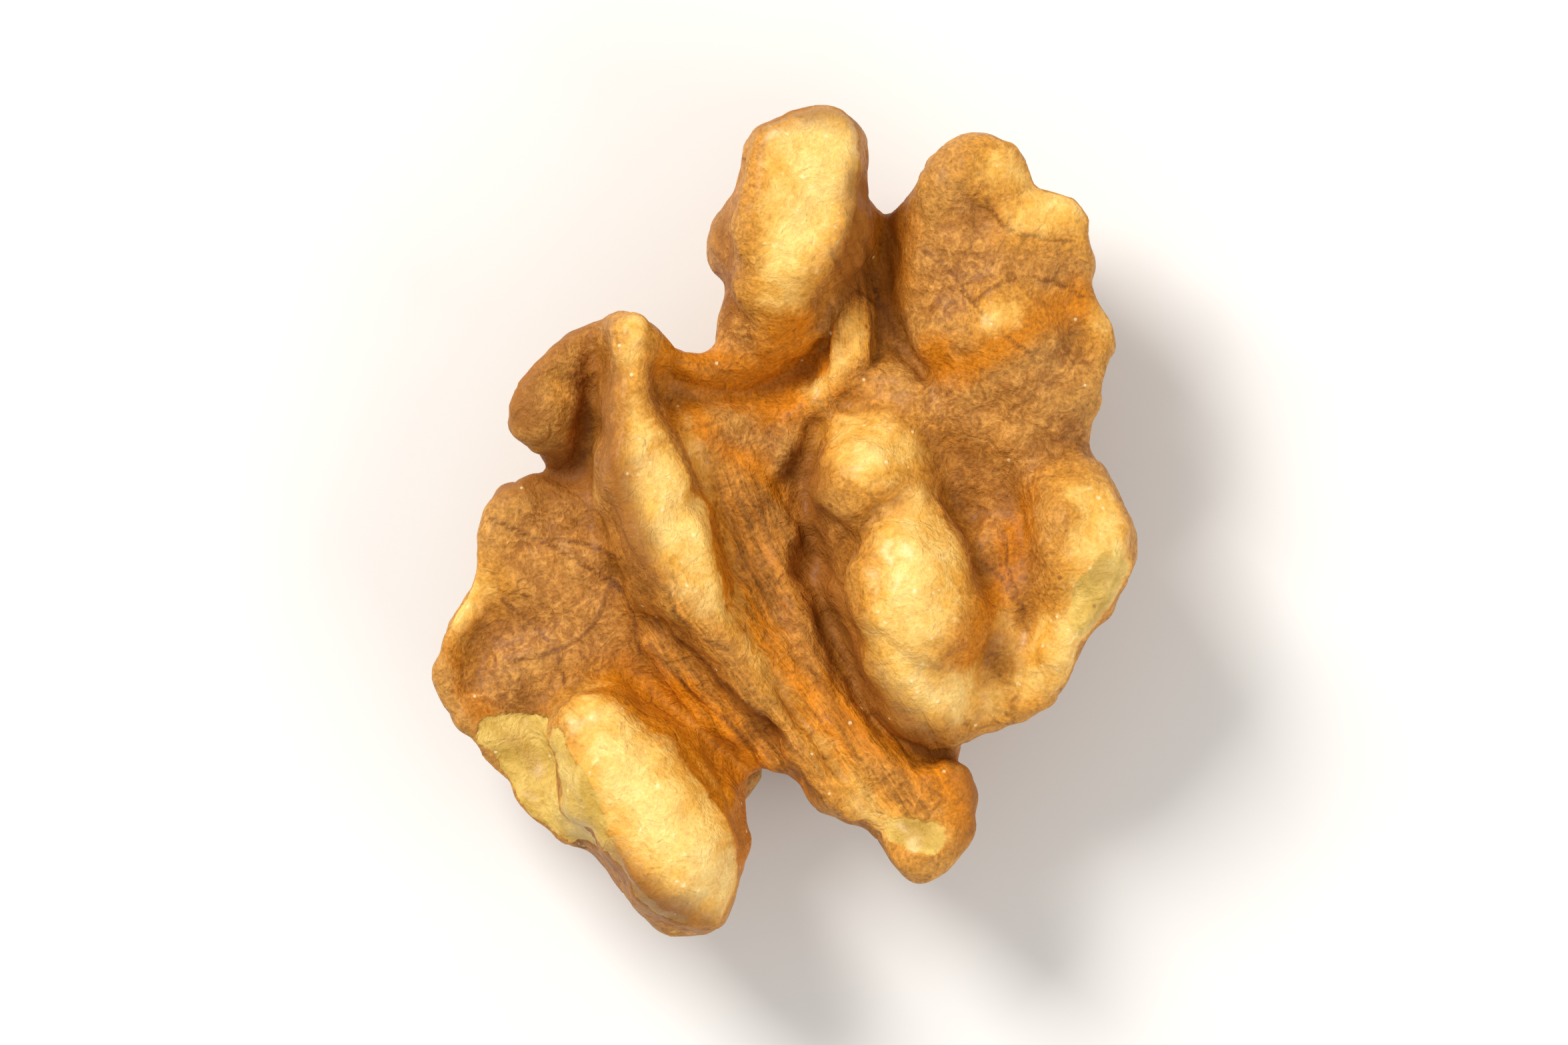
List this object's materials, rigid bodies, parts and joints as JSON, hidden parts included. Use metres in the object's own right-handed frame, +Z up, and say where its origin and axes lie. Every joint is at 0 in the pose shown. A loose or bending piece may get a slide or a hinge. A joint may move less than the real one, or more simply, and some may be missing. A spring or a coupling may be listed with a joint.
{
  "type": "walnut kernel half",
  "caption": "Half of a shelled walnut kernel, lying on its furrowed outer side with its folded inner side up.",
  "frame": {"origin": "on the surface that the kernel lies on, under the middle of its bounding box", "axes": "+X to the right wing, +Y towards the gap between the two wings, so the root tip points along -Y, +Z up"},
  "size_m": [0.0302, 0.0356, 0.014],
  "materials": {
    "kernel_half": "dry papery skin, slightly waxy"
  },
  "bodies": {
    "root": {"kernel_half": "kernel_half"}
  },
  "joints": []
}
